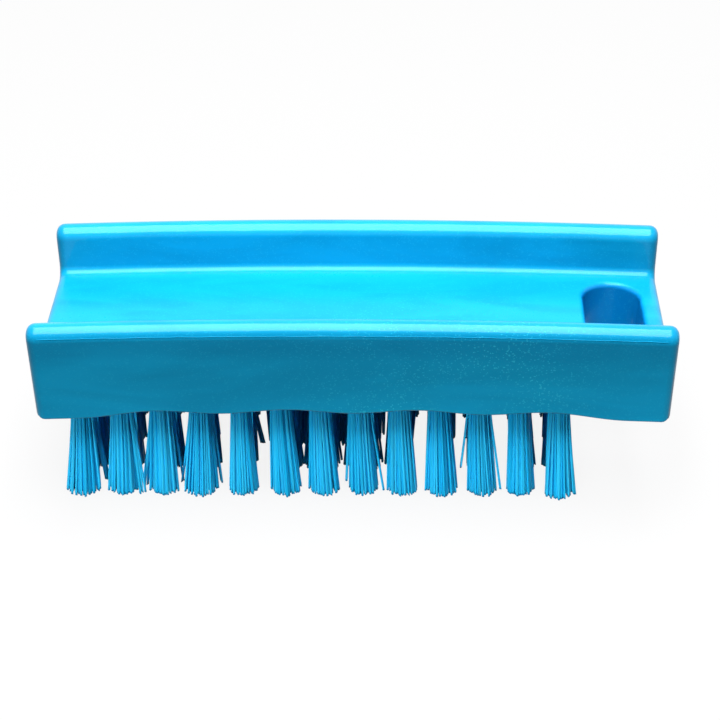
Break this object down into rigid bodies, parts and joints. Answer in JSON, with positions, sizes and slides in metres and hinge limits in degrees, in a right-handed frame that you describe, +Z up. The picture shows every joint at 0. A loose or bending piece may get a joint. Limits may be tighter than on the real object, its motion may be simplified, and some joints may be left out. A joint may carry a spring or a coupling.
{
  "type": "nail brush",
  "caption": "Nail brush: a bowed, channelled plastic block with round-rimmed side walls, scalloped lower edges and a hang slot, carrying rows of set bristle tufts.",
  "frame": {"origin": "under the middle of the block, on the plane of the bristle tips", "axes": "+X along the block towards the hang slot, -Y towards the front row, +Z up"},
  "size_m": [0.1178, 0.045, 0.0403],
  "materials": {
    "block_plastic": "glossy pearl blue, moulded",
    "bristle": "drawn blue filament, satin",
    "anchor_metal": "drawn flat wire, bare"
  },
  "bodies": {
    "root": {"anchors_row_1": "anchor_metal", "anchors_row_2": "anchor_metal", "anchors_row_3": "anchor_metal", "anchors_row_4": "anchor_metal", "block": "block_plastic", "tuft_row_1_01": "bristle", "tuft_row_1_02": "bristle", "tuft_row_1_03": "bristle", "tuft_row_1_04": "bristle", "tuft_row_1_05": "bristle", "tuft_row_1_06": "bristle", "tuft_row_1_07": "bristle", "tuft_row_1_08": "bristle", "tuft_row_1_09": "bristle", "tuft_row_1_10": "bristle", "tuft_row_1_11": "bristle", "tuft_row_1_12": "bristle", "tuft_row_1_13": "bristle", "tuft_row_2_01": "bristle", "tuft_row_2_02": "bristle", "tuft_row_2_03": "bristle", "tuft_row_2_04": "bristle", "tuft_row_2_05": "bristle", "tuft_row_2_06": "bristle", "tuft_row_2_07": "bristle", "tuft_row_2_08": "bristle", "tuft_row_2_09": "bristle", "tuft_row_2_10": "bristle", "tuft_row_2_11": "bristle", "tuft_row_2_12": "bristle", "tuft_row_2_13": "bristle", "tuft_row_3_01": "bristle", "tuft_row_3_02": "bristle", "tuft_row_3_03": "bristle", "tuft_row_3_04": "bristle", "tuft_row_3_05": "bristle", "tuft_row_3_06": "bristle", "tuft_row_3_07": "bristle", "tuft_row_3_08": "bristle", "tuft_row_3_09": "bristle", "tuft_row_3_10": "bristle", "tuft_row_3_11": "bristle", "tuft_row_3_12": "bristle", "tuft_row_3_13": "bristle", "tuft_row_3_14": "bristle", "tuft_row_4_01": "bristle", "tuft_row_4_02": "bristle", "tuft_row_4_03": "bristle", "tuft_row_4_04": "bristle", "tuft_row_4_05": "bristle", "tuft_row_4_06": "bristle", "tuft_row_4_07": "bristle", "tuft_row_4_08": "bristle", "tuft_row_4_09": "bristle", "tuft_row_4_10": "bristle", "tuft_row_4_11": "bristle", "tuft_row_4_12": "bristle", "tuft_row_4_13": "bristle"}
  },
  "joints": []
}
